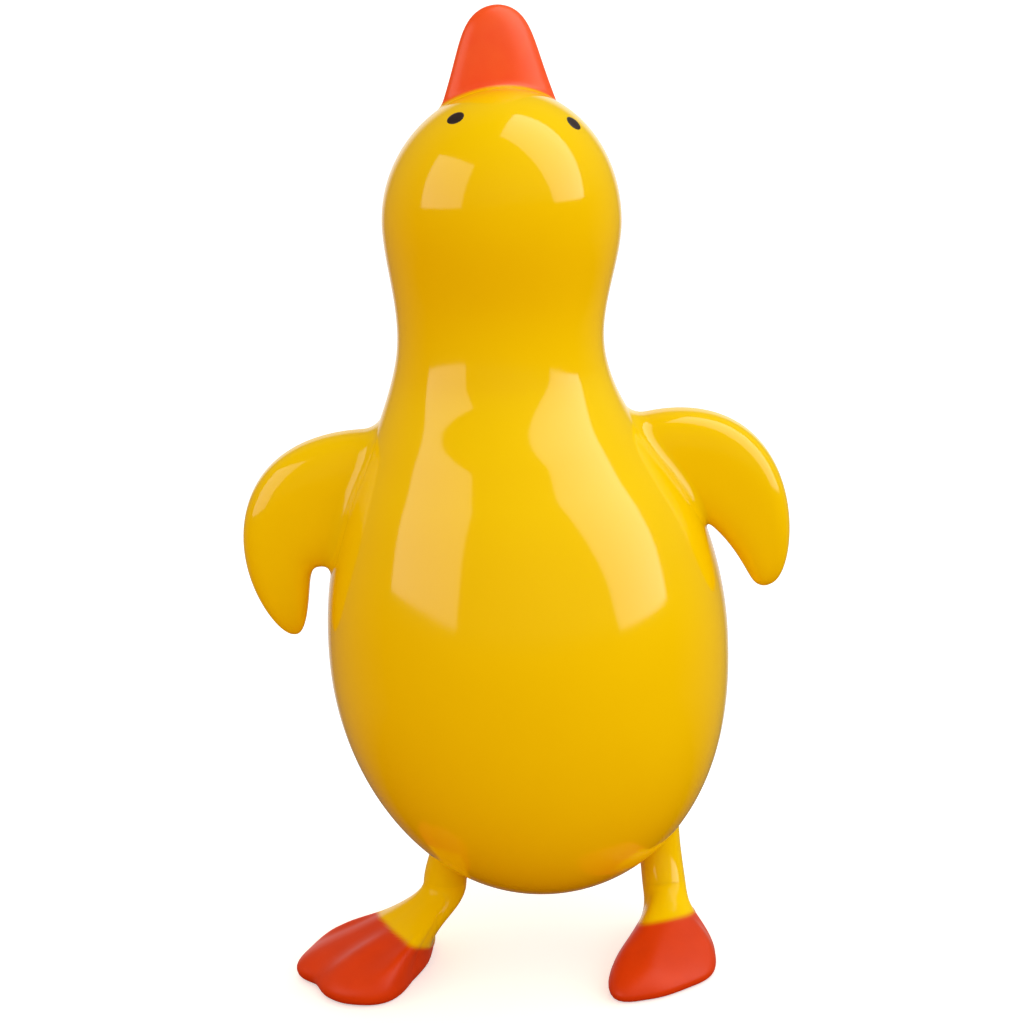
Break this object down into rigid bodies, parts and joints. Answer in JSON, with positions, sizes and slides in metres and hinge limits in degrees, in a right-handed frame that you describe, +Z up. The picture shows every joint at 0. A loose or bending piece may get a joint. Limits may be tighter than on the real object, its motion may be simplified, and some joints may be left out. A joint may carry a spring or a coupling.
{
  "type": "squeaky rubber bird",
  "caption": "Hollow moulded rubber bird that stands on webbed feet with its bill up, bends at neck, wings and legs, and squeaks through a reed plug in its belly.",
  "frame": {"origin": "on the floor, under the middle of the bird's bounding box", "axes": "+Z up through the bill, -Y the way the bird's front faces, +X the bird's left"},
  "size_m": [0.1095, 0.0808, 0.1965],
  "materials": {
    "yellow_rubber": "high gloss, moulded",
    "bill_paint": "satin sprayed paint on rubber",
    "foot_paint": "satin sprayed paint on rubber",
    "eye_paint": "gloss paint dot",
    "squeaker_plastic": "moulded",
    "reed_brass": "rolled sheet"
  },
  "bodies": {
    "torso": {"body_shell": "yellow_rubber", "neck": "yellow_rubber", "wing_root_left": "yellow_rubber", "wing_root_right": "yellow_rubber", "hip_left": "yellow_rubber", "hip_right": "yellow_rubber", "squeaker_case": "squeaker_plastic", "reed_bed": "squeaker_plastic", "reed_clamp": "squeaker_plastic"},
    "head": {"head_shell": "yellow_rubber", "bill": "bill_paint", "eye_left": "eye_paint", "eye_right": "eye_paint"},
    "left_wing": {"wing_left": "yellow_rubber"},
    "right_wing": {"wing_right": "yellow_rubber"},
    "left_leg": {"leg_left": "yellow_rubber", "foot_left": "foot_paint"},
    "right_leg": {"leg_right": "yellow_rubber", "foot_right": "foot_paint"},
    "reed_blade": {"reed": "reed_brass"}
  },
  "joints": [
    {"name": "neck_bend", "type": "hinge", "parent": "torso", "child": "head", "pos_m": [0, 0, 0.1313], "axis": [1, 0, 0], "range_deg": [-25, 40], "stiffness_Nm_per_rad": 0.6, "deforming": ["neck"]},
    {"name": "wing_flap_left", "type": "hinge", "parent": "torso", "child": "left_wing", "pos_m": [0.04032, 0.001, 0.08937], "axis": [0.2723, 0, -0.9622], "range_deg": [-30, 35], "stiffness_Nm_per_rad": 0.06, "deforming": ["wing_root_left"]},
    {"name": "wing_flap_right", "type": "hinge", "parent": "torso", "child": "right_wing", "pos_m": [-0.04121, 0.001, 0.08705], "axis": [0.0471, 0, 0.9989], "range_deg": [-30, 35], "stiffness_Nm_per_rad": 0.06, "deforming": ["wing_root_right"]},
    {"name": "leg_swing_left", "type": "hinge", "parent": "torso", "child": "left_leg", "pos_m": [0.02449, 0.00185, 0.02329], "axis": [-1, 0, 0], "range_deg": [-30, 30], "stiffness_Nm_per_rad": 0.6, "deforming": ["hip_left"]},
    {"name": "leg_swing_right", "type": "hinge", "parent": "torso", "child": "right_leg", "pos_m": [-0.01873, 0.00192, 0.02136], "axis": [-1, 0, 0], "range_deg": [-30, 30], "stiffness_Nm_per_rad": 0.6, "deforming": ["hip_right"]},
    {"name": "reed_flutter", "type": "hinge", "parent": "torso", "child": "reed_blade", "pos_m": [0.00178, 0, 0.02149], "axis": [1, 0, 0], "range_deg": [-0.8, 4], "stiffness_Nm_per_rad": 0.002}
  ]
}
